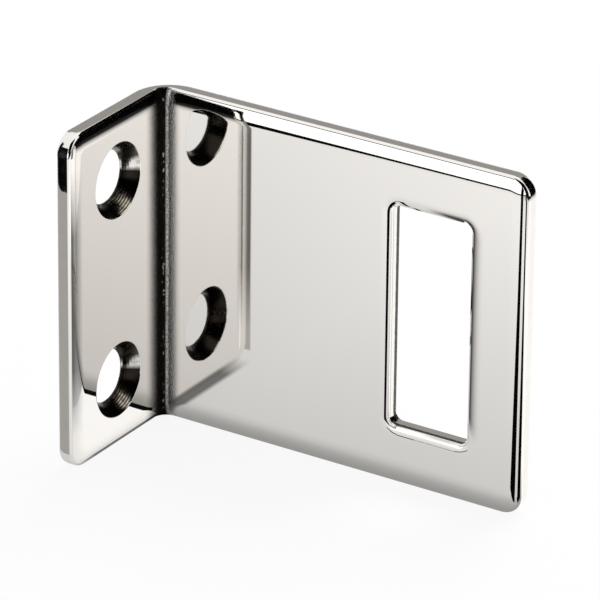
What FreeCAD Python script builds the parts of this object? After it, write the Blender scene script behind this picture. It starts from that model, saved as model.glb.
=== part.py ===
import FreeCAD, Part
import math
import os
from FreeCAD import Vector

# Door strike plate: one folded sheet, a screw flange and a long plate with a latch window.
# All sizes are in millimetres. X points away from the mounting face along the long plate,
# Y from the flange's free end to the long plate, and Z along the bend.
# The origin is on the mounting face, midway between the two screw holes.

# Sheet and outline
thickness = 2.0
height = 40.0
plate_length = 48.5
flange_width = 19.7
corner_radius = 2.5

# Square bend: its outside is rounder than a concentric one by the stretch, which thins the corner
bend_inner_radius = 0.8
bend_stretch = 1.8

# Latch window in the long plate
window_width = 10.1
window_height = 26.4
window_end_margin = 6.9
window_corner_radius = 1.0

# Two countersunk screw holes in the flange
screw_spacing = 24.1
screw_edge_distance = 8.9
screw_hole_diameter = 6.2
countersink_diameter = 8.7
countersink_land = 0.4

# Rolled and polished edge on the inner side of the fold, all round the outline
roll_width = 1.4
roll_depth = 0.35
roll_blend_radius = 6.0
rim_radius = 0.4

# The same edge round the window, narrower
window_roll_width = 0.6
window_roll_depth = 0.25
window_blend_radius = 1.5
window_rim_radius = 0.35

# Places that follow from the sizes
top = height / 2
flange_end = -screw_edge_distance
plate_back = flange_width - screw_edge_distance
plate_front = plate_back - thickness
bend_outer_radius = thickness + bend_inner_radius + bend_stretch
bend_axis_x = thickness + bend_inner_radius
bend_axis_y = plate_front - bend_inner_radius
window_right = plate_length - window_end_margin
window_left = window_right - window_width
window_top = window_height / 2
screw_heights = (-screw_spacing / 2, screw_spacing / 2)

# Cutters run past the sheet by its own thickness
overshoot = thickness

# An edge is told by this many points along it, compared to this tolerance
points_on_edge = 5
tolerance = 1e-4


def line(x1, y1, x2, y2):
    """Straight edge of the folded section, drawn at the lower end of the part."""
    return Part.LineSegment(Vector(x1, y1, -top), Vector(x2, y2, -top)).toShape()


def bend_arc(centre_x, centre_y, radius):
    """Quarter circle of the folded section, from the flange side to the plate side."""
    halfway = math.radians(45)
    reach = radius * math.cos(halfway)
    start = Vector(centre_x - radius, centre_y, -top)
    middle = Vector(centre_x - reach, centre_y + reach, -top)
    end = Vector(centre_x, centre_y + radius, -top)
    return Part.Arc(start, middle, end).toShape()


def is_free_corner(edge):
    """True for the four short edges through the sheet at its free corners."""
    point = edge.CenterOfMass
    through_sheet = abs(edge.Length - thickness) < tolerance
    at_end_of_bend_line = abs(abs(point.z) - top) < tolerance
    at_plate_end = abs(point.x - plate_length) < tolerance
    at_flange_end = abs(point.y - flange_end) < tolerance
    return through_sheet and at_end_of_bend_line and (at_plate_end or at_flange_end)


def folded_sheet():
    """The angle section run along the bend, with its four free corners rounded."""
    outer_y = plate_back - bend_outer_radius
    edges = [
        line(0, flange_end, 0, outer_y),
        bend_arc(bend_outer_radius, outer_y, bend_outer_radius),
        line(bend_outer_radius, plate_back, plate_length, plate_back),
        line(plate_length, plate_back, plate_length, plate_front),
        line(plate_length, plate_front, bend_axis_x, plate_front),
        bend_arc(bend_axis_x, bend_axis_y, bend_inner_radius),
        line(thickness, bend_axis_y, thickness, flange_end),
        line(thickness, flange_end, 0, flange_end),
    ]
    section = Part.Face(Part.Wire(Part.__sortEdges__(edges)))
    sheet = section.extrude(Vector(0, 0, height))
    corners = [edge for edge in sheet.Edges if is_free_corner(edge)]
    return sheet.makeFillet(corner_radius, corners)


def skin_depth(point):
    """How deep a point lies in the metal, measured from the inner skin of the fold."""
    if point.x >= bend_axis_x - tolerance:
        return point.y - plate_front
    if point.y <= bend_axis_y + tolerance:
        return thickness - point.x
    return math.hypot(point.x - bend_axis_x, point.y - bend_axis_y) - bend_inner_radius


def near_outline(point):
    """True where the rolled edge of the outline runs, which leaves out the bend's seams."""
    reach = roll_width + corner_radius
    near_ends_of_bend = top - abs(point.z) < reach
    return near_ends_of_bend or plate_length - point.x < reach or point.y - flange_end < reach


def near_window(point):
    """True where the rolled edge of the window runs."""
    reach = window_roll_width + tolerance
    beside = window_left - reach < point.x < window_right + reach
    return beside and abs(point.z) < window_top + reach


def level_edges(shape, depth, wanted):
    """Edges that keep one depth below the inner skin, in the region that is wanted."""
    found = []
    for edge in shape.Edges:
        points = edge.discretize(points_on_edge)
        level = all(abs(skin_depth(point) - depth) < tolerance for point in points)
        if level and all(wanted(point) for point in points):
            found.append(edge)
    return found


def sloped_edge(shape, wanted, width, depth):
    """The inner skin sloped to its edge, by width over the face and by depth down the wall."""
    edges = level_edges(shape, 0, wanted)
    sloped = shape.makeChamfer(depth, width, edges)
    if level_edges(sloped, depth, wanted):
        return sloped
    # Here the first distance counts from the face, so the two change places
    return shape.makeChamfer(width, depth, edges)


def rolled_edge(shape, wanted, width, depth, blend_radius, edge_radius):
    """A sloped edge with its rim rounded and the slope blended into the face."""
    sloped = sloped_edge(shape, wanted, width, depth)
    rounded = sloped.makeFillet(edge_radius, level_edges(sloped, depth, wanted))
    return rounded.makeFillet(blend_radius, level_edges(rounded, 0, wanted))


def window_cutter():
    """Upright bar with rounded corners that punches the latch window."""
    corner = Vector(window_left, plate_front - overshoot, -window_top)
    bar = Part.makeBox(window_width, thickness + 2 * overshoot, window_height, corner)
    corners = [edge for edge in bar.Edges if edge.BoundBox.YLength > thickness]
    return bar.makeFillet(window_corner_radius, corners)


def screw_cutter():
    """Half section of a countersunk hole, turned about the screw's axis."""
    bore = screw_hole_diameter / 2
    mouth = countersink_diameter / 2
    outline = [
        Vector(-overshoot, 0, 0),
        Vector(-overshoot, bore, 0),
        Vector(countersink_land, bore, 0),
        Vector(thickness, mouth, 0),
        Vector(thickness + overshoot, mouth, 0),
        Vector(thickness + overshoot, 0, 0),
        Vector(-overshoot, 0, 0),
    ]
    half_section = Part.Face(Part.makePolygon(outline))
    return half_section.revolve(Vector(0, 0, 0), Vector(1, 0, 0), 360)


def strike_plate():
    """The whole plate: fold, rolled outline, window with its rolled edge, screw holes."""
    plate = folded_sheet()
    plate = rolled_edge(plate, near_outline, roll_width, roll_depth, roll_blend_radius, rim_radius)
    plate = plate.cut(window_cutter())
    plate = rolled_edge(plate, near_window, window_roll_width, window_roll_depth,
                        window_blend_radius, window_rim_radius)
    for screw_height in screw_heights:
        hole = screw_cutter()
        hole.translate(Vector(0, 0, screw_height))
        plate = plate.cut(hole)
    return plate


os.makedirs("parts", exist_ok=True)
strike_plate().exportStep("parts/strike_plate.step")
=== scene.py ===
import math

import bmesh
import bpy
from mathutils import Matrix, Vector


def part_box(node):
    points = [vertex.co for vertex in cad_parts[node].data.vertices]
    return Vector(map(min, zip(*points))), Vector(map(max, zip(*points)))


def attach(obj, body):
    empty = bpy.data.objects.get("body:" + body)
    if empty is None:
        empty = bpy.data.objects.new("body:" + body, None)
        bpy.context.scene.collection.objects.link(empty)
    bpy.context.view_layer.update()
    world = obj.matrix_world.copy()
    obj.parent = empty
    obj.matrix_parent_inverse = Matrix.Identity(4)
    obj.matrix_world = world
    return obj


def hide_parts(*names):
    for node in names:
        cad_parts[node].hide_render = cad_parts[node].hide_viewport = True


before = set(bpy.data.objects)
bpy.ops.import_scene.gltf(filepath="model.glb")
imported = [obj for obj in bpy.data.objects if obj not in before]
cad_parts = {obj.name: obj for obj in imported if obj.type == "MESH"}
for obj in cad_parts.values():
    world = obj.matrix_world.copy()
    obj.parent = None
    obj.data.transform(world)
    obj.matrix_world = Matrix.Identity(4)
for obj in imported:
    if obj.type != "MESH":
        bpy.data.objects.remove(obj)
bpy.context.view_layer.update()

# Door strike plate in mirror-polished nickel, standing on its lower edges on a pale studio floor.
# Sizes are in millimetres, and each finished mesh is scaled to metres.
mm = 0.001

# Outer sizes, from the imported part
plate_low, plate_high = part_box("strike_plate")
top = plate_high.z / mm
plate_length = plate_high.x / mm
plate_back = plate_high.y / mm
flange_end = plate_low.y / mm

# Sheet, outline and bend
thickness = 2.0
corner_radius = 2.5
bend_inner_radius = 0.8
bend_stretch = 1.8

# Latch window and screw holes
window_width = 10.1
window_height = 26.4
window_end_margin = 6.9
window_corner_radius = 1.0
screw_spacing = 24.1
screw_hole_radius = 3.1
countersink_radius = 4.35
countersink_land = 0.4

# Rolled, polished edge of the outline and of the window
roll_width, roll_depth = 1.4, 0.35
roll_blend, rim_radius = 6.0, 0.4
window_roll_width, window_roll_depth = 0.6, 0.25
window_blend, window_rim_radius = 3.2, 0.35

# The sheared wall is slightly crowned, and plating leaves a fine rounding on sharp edges
wall_crown_radius = 2.2
wall_crown = math.radians(16)
back_break = 0.12
countersink_break = 0.08

# Places in the fold
plate_front = plate_back - thickness
bend_axis_x = thickness + bend_inner_radius
bend_axis_y = plate_front - bend_inner_radius
bend_outer_radius = thickness + bend_inner_radius + bend_stretch

# Places along the flat blank, which starts at the flange's free end
bend_start = bend_axis_y - flange_end
bend_end = bend_start + math.pi / 2 * bend_inner_radius
blank_length = bend_end + plate_length - bend_axis_x
screw_place = -flange_end
window_place = blank_length - window_end_margin - window_width / 2

# The outer skin is drawn out towards the bend over this length
stretch_reach = 3.6

# Material slots of the plate
POLISHED, WALL, WINDOW_WALL, COUNTERSINK = range(4)

# How finely round stretches are cut
corner_steps = 18
hole_steps = 144
rim_steps = 10
blend_steps = 14
break_steps = 3
crown_steps = 8
bend_steps = 32

# A last level step keeps the shading of a flat face flat up to its border
flat_step = (0.06, 0.0)
tolerance = 1e-5


def arc_steps(radius, first_tilt, last_tilt, count):
    """Steps inward and upward along an arc, while its surface turns between two tilts."""
    tilts = [first_tilt + (last_tilt - first_tilt) * i / count for i in range(count + 1)]
    places = [(-radius * math.sin(tilt), radius * math.cos(tilt)) for tilt in tilts]
    return [(b[0] - a[0], b[1] - a[1]) for a, b in zip(places, places[1:])]


def rolled_steps(width, depth, blend_radius, edge_radius):
    """Steps inward and upward over a rolled edge, from the wall to the flat face."""
    slope = math.atan2(depth, width)
    rim_tangent = edge_radius * math.tan((math.pi / 2 - slope) / 2)
    blend_tangent = blend_radius * math.tan(slope / 2)
    straight = math.hypot(width, depth) - rim_tangent - blend_tangent
    steps = arc_steps(edge_radius, math.pi / 2, slope, rim_steps)
    steps.append((straight * math.cos(slope), straight * math.sin(slope)))
    return steps + arc_steps(blend_radius, slope, 0, blend_steps) + [flat_step]


def broken_steps(size, first_tilt=math.pi / 2):
    """Steps inward and upward over a sharp edge that is only just rounded."""
    return arc_steps(size, first_tilt, 0, break_steps) + [flat_step]


def crowned_steps():
    """Steps up a sheared wall that leans in a little, and over its edge."""
    lean = math.pi / 2 - wall_crown
    crown = arc_steps(wall_crown_radius, math.pi / 2, lean, crown_steps)
    return crown + broken_steps(back_break, lean)


def total(steps, part):
    """Whole distance that steps go: inward is part 0 and upward is part 1."""
    return sum(step[part] for step in steps)


def downward(steps):
    """The same steps going down in place of up."""
    return [(inward, -upward) for inward, upward in steps]


def rounded_face(bm, middle, width, height, radius, level):
    """A level face with four rounded corners, facing up."""
    made = bmesh.ops.create_grid(bm, x_segments=1, y_segments=1, size=0.5)["verts"]
    bmesh.ops.scale(bm, vec=(width, height, 1), verts=made)
    bmesh.ops.translate(bm, vec=(middle, 0, level), verts=made)
    made = bmesh.ops.bevel(bm, geom=made, offset=radius, segments=corner_steps, profile=0.5,
                           affect="VERTICES", material=-1)["verts"]
    return made[0].link_faces[0]


def round_face(bm, middle, height, radius, level):
    """A level round face, facing up."""
    place = Matrix.Translation((middle, height, level))
    made = bmesh.ops.create_circle(bm, cap_ends=True, segments=hole_steps, radius=radius,
                                   matrix=place)["verts"]
    return made[0].link_faces[0]


def step_in(bm, face, steps):
    """Insets a face step by step, each time also up or down, and gives the new strips."""
    strips = []
    for inward, upward in steps:
        strips += bmesh.ops.inset_individual(bm, faces=[face], thickness=inward, depth=upward,
                                             use_even_offset=True)["faces"]
    return strips


def bridge(bm, front, back, slot):
    """Wall between the outlines of two matching faces."""
    edges = list(front.edges) + list(back.edges)
    for face in bmesh.ops.bridge_loops(bm, edges=edges)["faces"]:
        face.material_index = slot


def sheet_outline(bm):
    """The outside of the blank: wall, rolled edge in front, fine rounding behind."""
    front_steps = rolled_steps(roll_width, roll_depth, roll_blend, rim_radius)
    back_steps = crowned_steps()
    outline = (blank_length / 2, blank_length, 2 * top, corner_radius)
    front = rounded_face(bm, *outline, -total(front_steps, 1))
    back = rounded_face(bm, *outline, total(back_steps, 1) - thickness)
    bridge(bm, front, back, WALL)
    step_in(bm, front, front_steps)
    crown = step_in(bm, back, downward(back_steps[:crown_steps]))
    for face in crown:
        face.material_index = WALL
    step_in(bm, back, downward(back_steps[crown_steps:]))
    return [front, back]


def opening(bm, front, back, front_steps, back_steps, slot):
    """A hole from two faces on the skins, stepped in until they meet its wall."""
    step_in(bm, front, downward(reversed(front_steps)))
    step_in(bm, back, reversed(back_steps))
    bridge(bm, front, back, slot)
    return [front, back]


def latch_window(bm):
    """The window, with its own narrower rolled edge."""
    front_steps = rolled_steps(window_roll_width, window_roll_depth, window_blend, window_rim_radius)
    back_steps = broken_steps(back_break)
    faces = []
    for steps, level in ((front_steps, 0), (back_steps, -thickness)):
        lip = total(steps, 0)
        faces.append(rounded_face(bm, window_place, window_width + 2 * lip, window_height + 2 * lip,
                                  window_corner_radius + lip, level))
    return opening(bm, *faces, front_steps, back_steps, WINDOW_WALL)


def screw_hole(bm, height):
    """A countersunk hole: a cone from the front face down to a short straight land."""
    edge_steps = broken_steps(countersink_break)
    lip = total(edge_steps, 0)
    front = round_face(bm, screw_place, height, countersink_radius + lip, 0)
    back = round_face(bm, screw_place, height, screw_hole_radius + lip, -thickness)
    cone_depth = thickness - countersink_land - total(edge_steps, 1)
    step_in(bm, front, downward(reversed(edge_steps)))
    for face in step_in(bm, front, [(countersink_radius - screw_hole_radius, -cone_depth)]):
        face.material_index = COUNTERSINK
    return opening(bm, front, back, [], edge_steps, COUNTERSINK)


def folded(place):
    """Where a point of the flat blank lies once the flange is bent."""
    along, height, depth = place.x, place.y, -place.z
    share = depth / thickness
    if along < bend_start:
        lag = bend_stretch * share * max(0, 1 - (bend_start - along) / stretch_reach)
        return Vector((thickness - depth, flange_end + along - lag, height))
    if along > bend_end:
        lag = bend_stretch * share * max(0, 1 - (along - bend_end) / stretch_reach)
        return Vector((bend_axis_x + along - bend_end + lag, plate_front + depth, height))
    angle = math.pi / 2 * (along - bend_start) / (bend_end - bend_start)
    turn = Vector((-math.cos(angle), math.sin(angle), 0))
    inner = Vector((bend_axis_x, bend_axis_y, height)) + bend_inner_radius * turn
    outer_axis = Vector((bend_outer_radius, plate_back - bend_outer_radius, height))
    return inner.lerp(outer_axis + bend_outer_radius * turn, share)


def strike_plate():
    """The whole plate as one closed mesh: the blank with its openings, then its bend."""
    bm = bmesh.new()
    plugs = sheet_outline(bm) + latch_window(bm)
    for height in (-screw_spacing / 2, screw_spacing / 2):
        plugs += screw_hole(bm, height)
    bmesh.ops.delete(bm, geom=plugs, context="FACES_ONLY")
    for level in (0, -thickness):
        rims = [edge for edge in bm.edges
                if edge.is_boundary and abs(edge.verts[0].co.z - level) < tolerance]
        bmesh.ops.triangle_fill(bm, edges=rims, use_beauty=True)
    for i in range(bend_steps + 1):
        place = bend_start + (bend_end - bend_start) * i / bend_steps
        bmesh.ops.bisect_plane(bm, geom=bm.verts[:] + bm.edges[:] + bm.faces[:],
                               plane_co=(place, 0, 0), plane_no=(1, 0, 0), dist=tolerance)
    bmesh.ops.recalc_face_normals(bm, faces=bm.faces)
    for vertex in bm.verts:
        vertex.co = folded(vertex.co)
    for face in bm.faces:
        face.smooth = True
    return bm


def add_piece(name, bm, materials):
    """Makes a bmesh in millimetres an object in metres."""
    bmesh.ops.scale(bm, vec=(mm, mm, mm), verts=bm.verts)
    mesh = bpy.data.meshes.new(name)
    bm.to_mesh(mesh)
    bm.free()
    for material in materials:
        mesh.materials.append(material)
    piece = bpy.data.objects.new(name, mesh)
    bpy.context.scene.collection.objects.link(piece)
    return piece


def srgb(code):
    """Linear colour of an sRGB hex code."""
    parts = [int(code[i:i + 2], 16) / 255 for i in (0, 2, 4)]
    return tuple(c / 12.92 if c <= 0.04045 else ((c + 0.055) / 1.055) ** 2.4 for c in parts) + (1,)


def node(tree, kind, sockets=(), **settings):
    """Adds a shader node with its settings. Its sockets, in order or by name, are set, or linked where
    they are given another node, whose first output it then is, or an output."""
    made = tree.nodes.new(kind)
    for name, value in settings.items():
        setattr(made, name, value)
    for name, value in sockets.items() if isinstance(sockets, dict) else enumerate(sockets):
        if isinstance(value, bpy.types.Node):
            value = value.outputs[0]
        if isinstance(value, bpy.types.NodeSocket):
            tree.links.new(value, made.inputs[name])
        else:
            made.inputs[name].default_value = value
    return made


def empty_material(name):
    """A material with nothing but its output."""
    material = bpy.data.materials.new(name)
    material.use_nodes = True
    material.node_tree.nodes.clear()
    return material, material.node_tree


def axes(tree, place):
    """Places along x, y and z in millimetres."""
    parts = node(tree, "ShaderNodeSeparateXYZ", (place.outputs["Object"],))
    return [node(tree, "ShaderNodeMath", (part, mm), operation="DIVIDE") for part in parts.outputs]


def mask(tree, *fades):
    """Where several things meet: the product of masks and fades. A fade is a value, where it starts and
    ends, and its levels there, which are nought and one unless they are given."""
    parts = [node(tree, "ShaderNodeMapRange", fade) if isinstance(fade, tuple) else fade for fade in fades]
    whole = parts[0]
    for part in parts[1:]:
        whole = node(tree, "ShaderNodeMath", (whole, part), operation="MULTIPLY")
    return whole


def grain(tree, place, size, stretch=(1, 1, 1)):
    """Noise whose blotches are about a size in millimetres, drawn out along some axes."""
    laid = node(tree, "ShaderNodeMapping", {"Vector": place.outputs["Object"], "Scale": stretch})
    return node(tree, "ShaderNodeTexNoise", {"Vector": laid, "Scale": 1 / (size * mm), "Detail": 3})


def metal(tree, colour, roughness, height, strength, deep):
    """Metal surface with a relief that is some millimetres deep."""
    bump = node(tree, "ShaderNodeBump", {"Height": height, "Strength": strength, "Distance": deep * mm})
    shader = node(tree, "ShaderNodeBsdfPrincipled", {"Base Color": colour, "Roughness": roughness,
                                                     "Metallic": 1, "Normal": bump})
    node(tree, "ShaderNodeOutputMaterial", (shader,))


# Painted shade and marks of the bend on the polished side, in millimetres from the flange's face over the
# long plate, and from the long plate's face over the flange
face_starts = (-0.5, -0.35)
flange_ends = (0.35, 0.6)
bend_shade_over_flange = (1.1, 3.7)
crease_over_plate, crease_over_flange = (0.48, 0.68), (1.1, 1.3)
grain_over_plate, grain_over_flange = (0.8, 2.2), (0.1, 0.3)
specks_over_plate = (0.06, 0.2)
along_bend = (1, 1, 0.5)


def polished_nickel():
    """Mirror-polished nickel plate: sharp reflections, slightly warm. The wheel doesn't reach into the bend,
    where grain runs out over the long plate. Towards the bend the flange's colour is darkened as painted
    shade, and a crease is painted black as shade, with pale specks."""
    material, tree = empty_material("mirror_polished_nickel")
    place = node(tree, "ShaderNodeTexCoord")
    x, y, _ = axes(tree, place)
    from_flange = node(tree, "ShaderNodeMath", (x, thickness), operation="SUBTRACT")
    from_plate = node(tree, "ShaderNodeMath", (plate_front, y), operation="SUBTRACT")
    ragged = mask(tree, (grain(tree, place, 0.7, along_bend), 0, 1, 0, 0.6))
    on_plate = node(tree, "ShaderNodeMath", (from_flange, ragged), operation="ADD")
    in_fold = mask(tree, (from_flange, *face_starts), (from_plate, *face_starts))

    # Painted shade: the flange's colour darkens towards the concave bend.
    painted_bend_shade = node(tree, "ShaderNodeMapRange", (from_plate, *bend_shade_over_flange, 0.99, 0),
                 interpolation_type="SMOOTHSTEP")
    painted_bend_shade = mask(tree, painted_bend_shade, in_fold, (from_flange, *flange_ends, 1, 0))
    # Painted shade: the crease is coloured near black, leaving pale specks.
    crease = mask(tree, in_fold, (on_plate, *crease_over_plate, 1, 0),
                  (from_plate, *crease_over_flange, 1, 0))
    grainy = mask(tree, in_fold, (on_plate, *grain_over_plate, 1, 0),
                  (from_plate, *grain_over_flange, 1, 0))
    speckle = grain(tree, place, 0.2)
    pits = mask(tree, grainy, (speckle, 0.42, 0.6, 0.75, 0.15))
    specks = mask(tree, (grain(tree, place, 0.3, along_bend), 0.6, 0.68), (from_flange, *specks_over_plate))

    dark = node(tree, "ShaderNodeMath", (painted_bend_shade, pits), operation="MAXIMUM")
    mirror = node(tree, "ShaderNodeMix", {0: dark, 6: srgb("f6f3ef"), 7: srgb("100e0c")}, data_type="RGBA")
    crease_shade_and_specks = node(tree, "ShaderNodeMix", {0: specks, 6: srgb("16130f"), 7: srgb("b5afa7")}, data_type="RGBA")
    colour = node(tree, "ShaderNodeMix", {0: crease, 6: mirror.outputs[2], 7: crease_shade_and_specks.outputs[2]},
                  data_type="RGBA")
    dull = node(tree, "ShaderNodeMath", (crease, grainy), operation="MAXIMUM")
    metal(tree, colour.outputs[2], mask(tree, (dull, 0, 1, 0.03, 0.38)), speckle, dull, 0.05)
    return material


def nickel_over_sheared_edge():
    """Nickel on the sheared wall of the sheet: the tumbled metal mirrors softly, with faint cloudy grain."""
    material, tree = empty_material("nickel_over_sheared_edge")
    cloud = grain(tree, node(tree, "ShaderNodeTexCoord"), 0.8)
    colour = node(tree, "ShaderNodeMix", {0: cloud, 6: srgb("e9e6e1"), 7: srgb("f6f3ef")}, data_type="RGBA")
    metal(tree, colour.outputs[2], mask(tree, (cloud, 0.3, 0.7, 0.07, 0.12)), cloud, 0.045, 0.05)
    return material


# The window's wall: how far the torn strip reaches from the back, and on the lower wall from the front
torn_from_back = (0.66, 0.58)
torn_from_front = (1.05, 0.95)
shear_line_from_back = 1.27
shear_line_fade = (0.03, 0.08)
above_lower_wall = (0.05, 0.4)


def nickel_over_punched_window():
    """Nickel on the window's punched wall. The punch sheared the front part smooth and tore the rest,
    which stays a dark, rough strip along the back, with a fine line before it. The lower wall tore
    along the front."""
    material, tree = empty_material("nickel_over_punched_window")
    place = node(tree, "ShaderNodeTexCoord")
    _, y, z = axes(tree, place)
    depth = node(tree, "ShaderNodeMath", (y, mask(tree, (grain(tree, place, 0.6), 0, 1, 0, 0.14))),
                 operation="ADD")
    upper_walls = mask(tree, (z, *[gap - window_height / 2 for gap in above_lower_wall]))
    torn_behind = mask(tree, (depth, *[plate_back - gap for gap in torn_from_back]), upper_walls)
    torn_before = node(tree, "ShaderNodeMath",
                       (mask(tree, (depth, *[plate_front + gap for gap in torn_from_front])), upper_walls),
                       operation="SUBTRACT")
    torn = node(tree, "ShaderNodeMath", (torn_behind, torn_before), operation="MAXIMUM")
    past_line = node(tree, "ShaderNodeMath", (depth, plate_back - shear_line_from_back), operation="SUBTRACT")
    off_line = node(tree, "ShaderNodeMath", (past_line,), operation="ABSOLUTE")
    dark = node(tree, "ShaderNodeMath", (torn, mask(tree, (off_line, *shear_line_fade, 0.55, 0))),
                operation="MAXIMUM")

    speckle = grain(tree, place, 0.25)
    rough = node(tree, "ShaderNodeMix", {0: mask(tree, (speckle, 0.4, 0.65)), 6: srgb("3b3e39"),
                                         7: srgb("6f726a")}, data_type="RGBA")
    colour = node(tree, "ShaderNodeMix", {0: dark, 6: srgb("f3f0ec"), 7: rough.outputs[2]}, data_type="RGBA")
    metal(tree, colour.outputs[2], mask(tree, (torn, 0, 1, 0.1, 0.4)), speckle,
          mask(tree, (torn, 0, 1, 0, 0.5)), 0.04)
    return material


def sector(tree, turn, middle, reach, fade):
    """A part of a countersink's round, by degrees: its middle, how far it reaches, and how far it fades."""
    past_middle = node(tree, "ShaderNodeMath", (turn, math.radians(middle)), operation="SUBTRACT")
    off_middle = node(tree, "ShaderNodeMath", (past_middle,), operation="ABSOLUTE")
    return mask(tree, (off_middle, math.radians(reach), math.radians(reach + fade), 1, 0))


# Rings that the cutter left in the countersinks, drawn coarser than real so that they show
ring_pitch = 0.2
ring_wander = 0.12


def nickel_over_turned_countersink():
    """Nickel in the countersinks, golden, with its colour painted dark as their shade. The cutter leaves
    rings, which are too fine to show at their real pitch. A painted highlight lies on the rings where they
    chattered, a painted glint in another sector, and painted light on the part above."""
    material, tree = empty_material("nickel_over_turned_countersink")
    place = node(tree, "ShaderNodeTexCoord")
    _, y, z = axes(tree, place)
    half = node(tree, "ShaderNodeMath", (z,), operation="SIGN")
    axis = node(tree, "ShaderNodeMath", (half, screw_spacing / 2), operation="MULTIPLY")
    rise = node(tree, "ShaderNodeMath", (z, axis), operation="SUBTRACT")
    turn = node(tree, "ShaderNodeMath", (rise, y), operation="ARCTAN2")
    from_axis = node(tree, "ShaderNodeCombineXYZ", (0, y, rise))
    radius = node(tree, "ShaderNodeVectorMath", (from_axis,), operation="LENGTH").outputs["Value"]
    wander = mask(tree, (grain(tree, place, 1.5), 0, 1, 0, ring_wander))
    wavy = node(tree, "ShaderNodeMath", (radius, wander), operation="ADD")
    turns = node(tree, "ShaderNodeMath", (wavy, math.tau / ring_pitch), operation="MULTIPLY")
    rings = mask(tree, (node(tree, "ShaderNodeMath", (turns,), operation="SINE"), -1, 1))

    patches = grain(tree, place, 0.9)
    # Painted glint in one sector, painted highlight on the rings where they chattered, and painted light on
    # the part above.
    painted_glint = mask(tree, sector(tree, turn, 8, 5, 9), (patches, 0.3, 0.6, 0.5, 1))
    chatter_highlight = mask(tree, sector(tree, turn, -62, 12, 14), rings, (patches, 0.35, 0.6))
    painted_light_above = mask(tree, sector(tree, turn, 60, 30, 20), (patches, 0.3, 0.7, 0.3, 0.6))
    # Dark golden colour of the countersinks: the darkness is painted shade, and the painted light goes over
    # it.
    colour = srgb("2a2622")
    for lit, code in ((painted_light_above, "9a9484"), (chatter_highlight, "d6ccb8"), (painted_glint, "fbf8f2")):
        colour = node(tree, "ShaderNodeMix", {0: lit, 6: colour, 7: srgb(code)}, data_type="RGBA").outputs[2]
    metal(tree, colour, mask(tree, (painted_glint, 0, 1, 0.22, 0.12)), rings, 0.06, 0.02)
    return material


plate = add_piece("polished_plate", strike_plate(), [
    polished_nickel(),
    nickel_over_sheared_edge(),
    nickel_over_punched_window(),
    nickel_over_turned_countersink(),
])
finish_normals = plate.modifiers.new("flat_faces_stay_flat", "WEIGHTED_NORMAL")
finish_normals.keep_sharp = True
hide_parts("strike_plate")
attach(plate, "root")

# Camera at the photograph's viewing angle, fitted to the plate's own corners
camera_target = Vector((24.41, 1.916, 2.707))
camera_distance = 600.0
camera_azimuth = 32.257
camera_elevation = 24.829
camera_roll = math.radians(0.647)
camera_lens = 332.96


def heading(azimuth, elevation):
    """Direction away from the plate: azimuth turns from the front to the right."""
    turn, rise = math.radians(azimuth), math.radians(elevation)
    return Vector((math.sin(turn) * math.cos(rise), -math.cos(turn) * math.cos(rise), math.sin(rise)))


def add_camera():
    """The camera looks at its target from the front right and above."""
    away = heading(camera_azimuth, camera_elevation)
    camera = bpy.data.objects.new("camera", bpy.data.cameras.new("camera"))
    bpy.context.scene.collection.objects.link(camera)
    turn = away.to_track_quat("Z", "Y").to_matrix().to_4x4() @ Matrix.Rotation(camera_roll, 4, "Z")
    camera.matrix_world = Matrix.Translation((camera_target + camera_distance * away) * mm) @ turn
    camera.data.lens = camera_lens
    bpy.context.scene.camera = camera


add_camera()
bpy.context.scene.view_settings.view_transform = "Standard"


def glow(name, code, strength=1.0):
    """Evenly lit card, or a dark one with a colour near black."""
    material, tree = empty_material(name)
    lit = node(tree, "ShaderNodeEmission", (srgb(code), strength))
    node(tree, "ShaderNodeOutputMaterial", (lit,))
    return material


def glow_where(tree, shown, code, strength=1.0):
    """Glow of a card where a mask shows it, and clear elsewhere."""
    clear = node(tree, "ShaderNodeBsdfTransparent")
    lit = node(tree, "ShaderNodeEmission", (srgb(code), strength))
    both = node(tree, "ShaderNodeMixShader", (shown, clear, lit))
    node(tree, "ShaderNodeOutputMaterial", (both,))


# The lit pool of the table: its middle, and where the felt round it starts and is closed
pool_middle = Vector((24, 0, -top))
pool_fade = (90 * mm, 280 * mm)


def soft_edged_felt():
    """Black felt round the lit pool of the table. It closes in as the lamps' light falls off."""
    material, tree = empty_material("black_felt_soft_edge")
    place = node(tree, "ShaderNodeTexCoord")
    centred = node(tree, "ShaderNodeMapping", {"Vector": place.outputs["Object"],
                                               "Location": -pool_middle * mm})
    spread = node(tree, "ShaderNodeVectorMath", (centred,), operation="LENGTH").outputs["Value"]
    closed = node(tree, "ShaderNodeMapRange", (spread, *pool_fade), interpolation_type="SMOOTHSTEP")
    glow_where(tree, closed, "050505")
    return material


def soft_flag(name, code, axis, fades, middle, ends):
    """Felt that thins out along an axis, and at its ends by their distance from a middle height."""
    material, tree = empty_material(name)
    places = axes(tree, node(tree, "ShaderNodeTexCoord"))
    above_middle = node(tree, "ShaderNodeMath", (places[2], middle), operation="SUBTRACT")
    off_middle = node(tree, "ShaderNodeMath", (above_middle,), operation="ABSOLUTE")
    shown = mask(tree, (off_middle, *ends, 1, 0), *[(places[axis], *fade) for fade in fades])
    glow_where(tree, shown, code)
    return material


def one_sided(name, code, strength=1.0):
    """Glow on the front of a card alone. From behind it is clear."""
    material, tree = empty_material(name)
    side = node(tree, "ShaderNodeNewGeometry")
    front = node(tree, "ShaderNodeMath", (1, side.outputs["Backfacing"]), operation="SUBTRACT")
    glow_where(tree, front, code, strength)
    return material


def only_mirrored(card):
    """A studio card that shows in the polish alone, and neither lights nor shades anything."""
    card.visible_camera = False
    card.visible_diffuse = False
    card.visible_transmission = False
    card.visible_shadow = False


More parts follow.
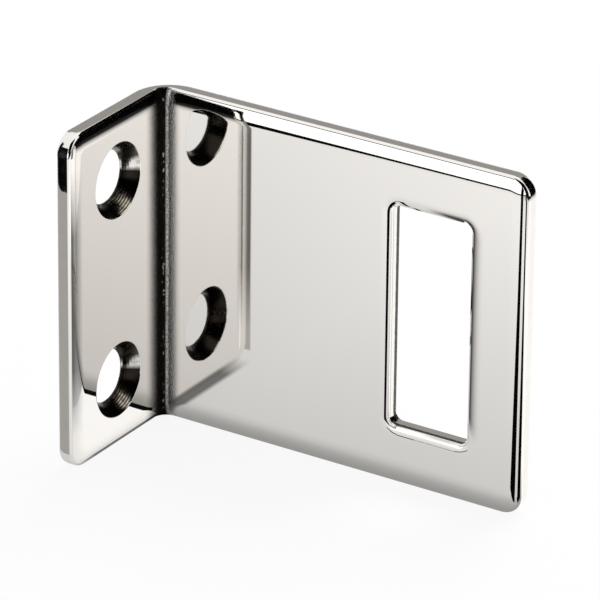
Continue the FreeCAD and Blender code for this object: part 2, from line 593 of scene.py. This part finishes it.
def hung_card(name, azimuth, elevation, width, height, material):
    """Card hung round the plate, square to the line from its middle; sizes are angles in degrees."""
    away = heading(azimuth, elevation)
    across, tall = [2 * hung_distance * math.tan(math.radians(angle / 2)) for angle in (width, height)]
    bm = bmesh.new()
    bmesh.ops.create_grid(bm, x_segments=1, y_segments=1, size=0.5)
    bmesh.ops.scale(bm, vec=(across, tall, 1), verts=bm.verts)
    turn = away.to_track_quat("Z", "Y").to_matrix().to_4x4()
    place = Matrix.Translation(camera_target + hung_distance * away) @ turn
    bmesh.ops.transform(bm, matrix=place, verts=bm.verts)
    only_mirrored(add_piece(name, bm, [material]))


def flat_cards(name, outlines, material):
    """Cards from their corners, all in one mesh."""
    bm = bmesh.new()
    for corners in outlines:
        bm.faces.new([bm.verts.new(corner) for corner in corners])
    only_mirrored(add_piece(name, bm, [material]))


def lying_card(name, outline, height, material):
    """Level card at a height, from the x and y of its corners."""
    flat_cards(name, [[(x, y, height) for x, y in outline]], material)


def front_card(name, outline, material):
    """Upright card close before the long plate, from the x and z of its corners."""
    flat_cards(name, [[(x, plate_front - before_plate, z) for x, z in reversed(outline)]], material)


def standing(start, end, low, high):
    """Corners of an upright card between two heights, over a line from one x and y to another."""
    return [(*start, low), (*end, low), (*end, high), (*start, high)]


def standing_card(name, start, end, low, high, material):
    """Upright card over a line, between two heights."""
    flat_cards(name, [standing(start, end, low, high)], material)


hung_distance = 700
before_plate = 1.8
floor_level = -top

black = glow("black_felt", "050505")
mid_grey = glow("mid_grey_card", "a9a7a4")
grey = glow("grey_card", "9c9a97")
softbox = glow("white_softbox", "ffffff", 1.3)

# Felt on the table, and a softbox of two panels at the front left
table_reach = 900
lying_card("table_edge", [(-table_reach, -table_reach), (table_reach, -table_reach),
                          (table_reach, table_reach), (-table_reach, table_reach)],
           floor_level + 0.5, soft_edged_felt())
lying_card("table_edge_front_left", [(-48, -70), (-160, -20), (-190, -180), (60, -180), (60, -138),
                                     (-10, -118), (-30, -102)], floor_level + 1, black)
softbox_height = 42
standing_card("softbox_front_left", (-32, -146), (-135, -106), floor_level, softbox_height, softbox)
standing_card("softbox_front", (60, -155), (-32, -146), floor_level, softbox_height, softbox)

# Cards hung round the plate: azimuth, elevation, width and height in degrees
hung_card("card_behind_left", -153, 24, 50, 40, grey)
hung_card("flag_behind_right", 151, 21, 46, 46, black)
hung_card("flag_at_camera", 40, 32, 80, 76, black)
hung_card("flag_front_left_bar", -32, 18, 30, 18, black)
hung_card("flag_left", -54, 14, 16, 50, black)

# White slats on the floor inside the fold, turned to the flange, which shows them below the long plate
slat_count = 58
slat_spacing = 0.3
slat_height = 0.17
first_slat = plate_front - 0.6
slats = []
for i in range(slat_count):
    slat_y = first_slat - slat_spacing * i
    slats.append(standing((2, slat_y), (16, slat_y), floor_level, floor_level + slat_height))
flat_cards("slats_inside_fold", slats, one_sided("white_slat", "ffffff", 1.05))

# A dark rail at the long plate's foot as painted contact shade, and a white one by the flange's end, each
# seen from the flange alone
standing_card("contact_shade_at_foot", (3, 8.5), (30, 8.5), floor_level, floor_level + 0.6,
              one_sided("painted_contact_shade", "0a0908"))
standing_card("rail_by_flange_end", (4, -10.45), (4, -10.9), floor_level, 15,
              one_sided("white_rail", "ffffff", 1.3))

# Thin flags by the edges, which draw the dark lines along the polished lips
black_front = one_sided("black_felt_to_the_plate", "050505")
front_card("flag_by_right_end", [(46.85, -17.5), (47.4, -19.7), (47.65, -19.7), (47.75, -18), (47.7, top),
                                 (47.3, top), (47.2, 5), (47, -7)], black_front)
front_card("flag_outside_right_end", [(48.03, -top), (52, -top), (50, -6), (48.6, 5), (48.12, top),
                                      (48.03, top)], black_front)
front_card("flag_by_window_left", [(30.95, -13.3), (31.52, -13.3), (31.52, 11.6), (30.85, 11.6)], black_front)
front_card("flag_under_window", [(30.85, -13.9), (31.25, -14.45), (31.9, -14.8), (39.2, -14.8), (40.3, -14.3),
                                 (40.3, -14.1), (39.2, -14.6), (31.9, -14.6), (31.4, -14.3),
                                 (31.05, -13.85)], black_front)
front_card("flag_by_window_right", [(34, -top), (42.2, -top), (42.2, top), (34, top)],
           soft_flag("felt_fading_to_the_right", "4a4947", 0, [(42.2, 38.2), (34, 36.5)], -0.6, (11.2, 12.9)))
standing_card("flag_by_flange_end", (2.3, -8.6), (2.3, -6.2), -top, top,
              soft_flag("felt_fading_to_the_bend", "5f5e5c", 1, [(-6.6, -8.3)], 0, (8, 16)))

# A grey card and a black flag over it, close before the flange's free end
card_top = 12.6
card_start, card_end = (-4.4, -10.9), (0.9, -10.9)
standing_card("card_before_flange_end", card_start, card_end, floor_level, card_top, mid_grey)
standing_card("flag_before_flange_end", card_start, card_end, card_top, top, black)


def seen_directly(tree):
    """One where the camera, a mirror or glass sees the surface, and nought for scattered light."""
    paths = node(tree, "ShaderNodeLightPath")
    seen = node(tree, "ShaderNodeMath", (paths.outputs["Is Camera Ray"], paths.outputs["Is Glossy Ray"]),
                operation="MAXIMUM")
    return node(tree, "ShaderNodeMath", (seen, paths.outputs["Is Transmission Ray"]), operation="MAXIMUM")


def add_world():
    """White surroundings, which light the floor less than they show."""
    world = bpy.data.worlds.new("white_tent")
    bpy.context.scene.world = world
    world.use_nodes = True
    tree = world.node_tree
    tree.nodes.clear()
    level = mask(tree, (seen_directly(tree), 0, 1, 0.55, 1))
    background = node(tree, "ShaderNodeBackground", (srgb("ffffff"), level))
    node(tree, "ShaderNodeOutputWorld", (background,))


# Soft lamp, above and behind the plate
lamp_size = 300
lamp_distance = 500
lamp_power = 1.8


def add_lamp():
    """Large soft lamp above and behind, which leaves the floor before the plate in soft shade."""
    light = bpy.data.lights.new("soft_lamp", "AREA")
    light.shape = "SQUARE"
    light.size = lamp_size * mm
    light.energy = lamp_power
    lamp = bpy.data.objects.new("soft_lamp", light)
    bpy.context.scene.collection.objects.link(lamp)
    away = heading(170, 55)
    turn = away.to_track_quat("Z", "Y").to_matrix().to_4x4()
    lamp.matrix_world = Matrix.Translation(lamp_distance * away * mm) @ turn
    lamp.visible_glossy = False


def mirrored_floor(tree, place):
    """How strongly the polish shows the floor, as painted light: painted shade before the long plate and in
    the fold, painted dimming far out to the front right, and white elsewhere."""
    across, along, _ = axes(tree, place)
    by_flange = mask(tree, (across, thickness + 0.2, thickness + 0.9, 0.8, 0),
                     (along, flange_end + 0.3, flange_end + 5))
    before = mask(tree, (along, plate_front - 5, plate_front, 1, 0.5),
                  (along, plate_front - 75, plate_front - 5, 0.95, 0.66),
                  (across, -30, 5, 0.9, 1),
                  (by_flange, 0, 1, 1, 0.06))
    behind = mask(tree, (along, plate_front, plate_back, 0, 1.1))
    beside = mask(tree, (across, plate_length, plate_length + 12, 0, 1.1))
    elsewhere = node(tree, "ShaderNodeMath", (behind, beside), operation="MAXIMUM")
    whole = node(tree, "ShaderNodeMath", (before, elsewhere), operation="MAXIMUM")
    sideways = node(tree, "ShaderNodeMath", (across, 0.5), operation="MULTIPLY")
    outward = node(tree, "ShaderNodeMath", (sideways, along), operation="SUBTRACT")
    dusk = mask(tree, (outward, 88, 165, 0, 0.97), (across, 35, 60))
    return mask(tree, whole, (dusk, 0, 1, 1, 0))


# From where the floor's shadow fades until the floor is plain white
shadow_fade = (40 * mm, 130 * mm)


def pale_floor():
    """Matt white card. Further out it turns to plain white, so that only the shadow shows on it."""
    material, tree = empty_material("matt_white_card")
    place = node(tree, "ShaderNodeTexCoord")
    paths = node(tree, "ShaderNodeLightPath")
    spread = node(tree, "ShaderNodeVectorMath", (place.outputs["Object"],), operation="LENGTH")
    plain = node(tree, "ShaderNodeMapRange", (spread.outputs["Value"], *shadow_fade, 0.9, 1),
                 interpolation_type="SMOOTHSTEP")
    direct = mask(tree, paths.outputs["Is Camera Ray"], plain)
    matt = node(tree, "ShaderNodeBsdfDiffuse", (srgb("f4f4f4"),))
    white = node(tree, "ShaderNodeEmission", (srgb("ffffff"), 1))
    seen = node(tree, "ShaderNodeMixShader", (direct, matt, white))
    # For glossy rays the floor shows the painted light and shade of mirrored_floor, not the lit card.
    mirrored = node(tree, "ShaderNodeEmission", (srgb("ffffff"), mirrored_floor(tree, place)))
    both = node(tree, "ShaderNodeMixShader", (paths.outputs["Is Glossy Ray"], seen, mirrored))
    node(tree, "ShaderNodeOutputMaterial", (both,))
    return material


def add_floor():
    """Floor under the plate's lower edges."""
    bm = bmesh.new()
    bmesh.ops.create_grid(bm, x_segments=1, y_segments=1, size=2000)
    bmesh.ops.translate(bm, vec=(0, 0, floor_level), verts=bm.verts)
    add_piece("studio_floor", bm, [pale_floor()])


add_world()
add_lamp()
add_floor()
